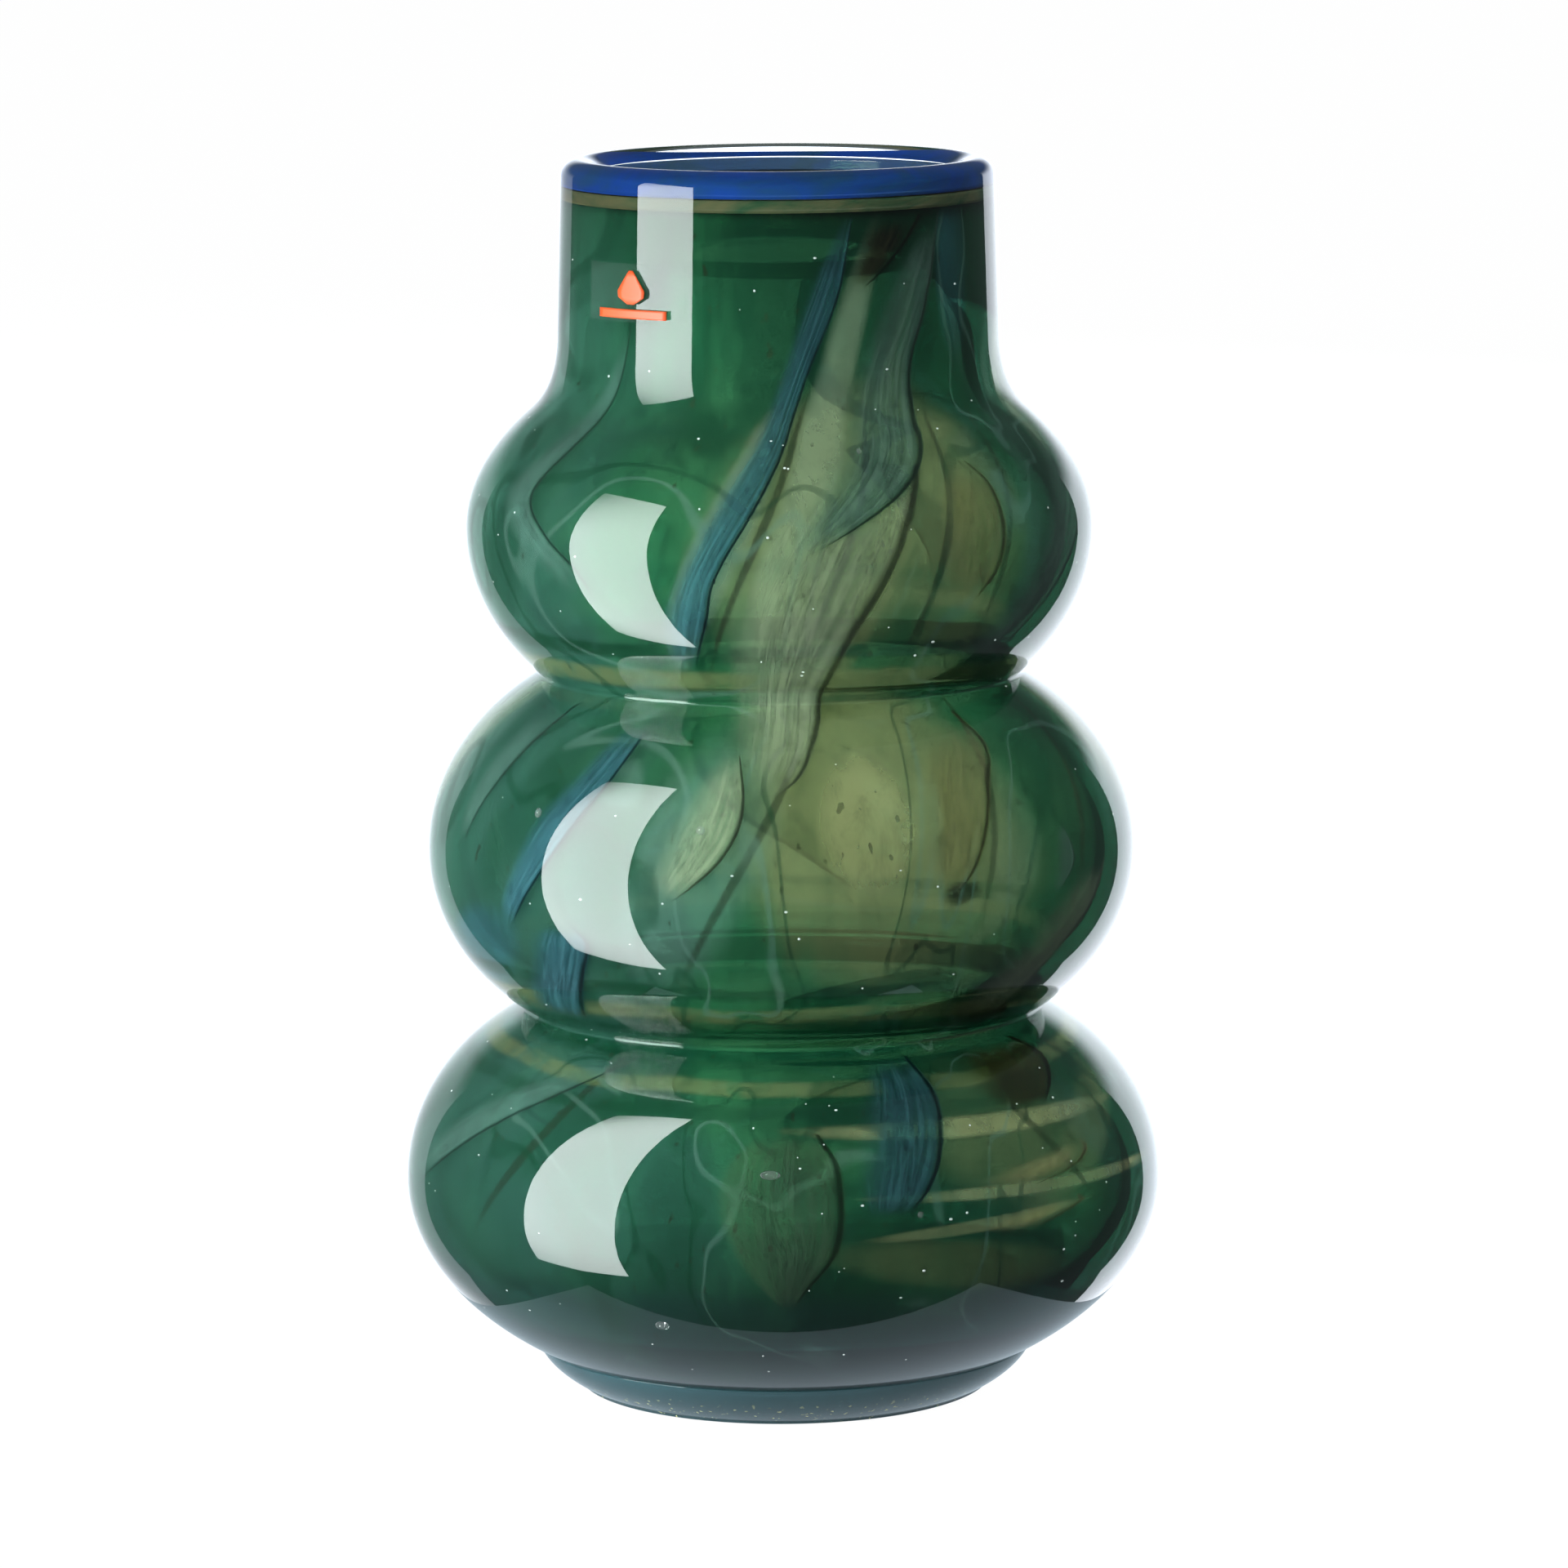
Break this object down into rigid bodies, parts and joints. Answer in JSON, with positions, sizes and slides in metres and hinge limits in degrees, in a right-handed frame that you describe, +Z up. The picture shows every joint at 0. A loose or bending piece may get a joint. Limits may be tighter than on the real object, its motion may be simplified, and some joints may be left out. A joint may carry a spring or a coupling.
{
  "type": "art glass vase",
  "caption": "Hand blown cased glass vase: swelling bulges stacked under a straight wide neck, green glass with blue, teal and olive trails and a blue lip.",
  "frame": {"origin": "centre of the foot's flat underside", "axes": "+Z up the vase's axis to the mouth; -Y faces the viewer, with the label to the left of it; +X to the viewer's right"},
  "size_m": [0.154, 0.154, 0.2501],
  "materials": {
    "clear_casing_glass": "gloss",
    "green_core_glass": "gloss",
    "foot_glass": "gloss",
    "lip_blue_glass": "gloss",
    "gold_line_glass": "gloss",
    "trail_blue_glass": "gloss",
    "trail_teal_glass": "gloss",
    "film_slate_glass": "gloss",
    "film_olive_glass": "gloss",
    "film_dark_glass": "gloss",
    "label_clear_film": "gloss",
    "label_orange_ink": "satin"
  },
  "bodies": {
    "root": {"outer_casing": "clear_casing_glass", "green_core": "green_core_glass", "foot_pad": "foot_glass", "lip_wrap": "lip_blue_glass", "gold_line": "gold_line_glass", "trail_blue_sweep": "trail_blue_glass", "trail_teal_sweep": "trail_teal_glass", "film_slate_front": "film_slate_glass", "film_leaf": "film_slate_glass", "film_dark_neck": "film_dark_glass", "trail_olive_lobe": "film_olive_glass", "trail_right_sweep": "trail_teal_glass", "film_brown_thumb": "film_olive_glass", "trail_teal_lens": "trail_teal_glass", "trail_slate_right": "film_slate_glass", "trail_left_shoulder": "trail_teal_glass", "trail_left_edge": "film_slate_glass", "trail_left_blue": "trail_blue_glass", "film_blue_patch": "trail_blue_glass", "trail_centre_leaf": "film_slate_glass", "trail_blue_panel": "trail_blue_glass", "film_olive_lobe": "film_olive_glass", "film_upper_streak": "gold_line_glass", "film_lower_streak": "gold_line_glass", "trail_brown_lobe": "film_olive_glass", "trail_lower_left": "trail_teal_glass", "trail_back_blue": "trail_blue_glass", "trail_back_teal": "trail_teal_glass", "film_back_slate": "film_slate_glass", "trail_back_olive": "film_olive_glass", "trail_back_low": "trail_blue_glass", "film_back_gold": "gold_line_glass", "label_film": "label_clear_film", "label_print_drop": "label_orange_ink", "label_print_bar": "label_orange_ink"}
  },
  "joints": []
}
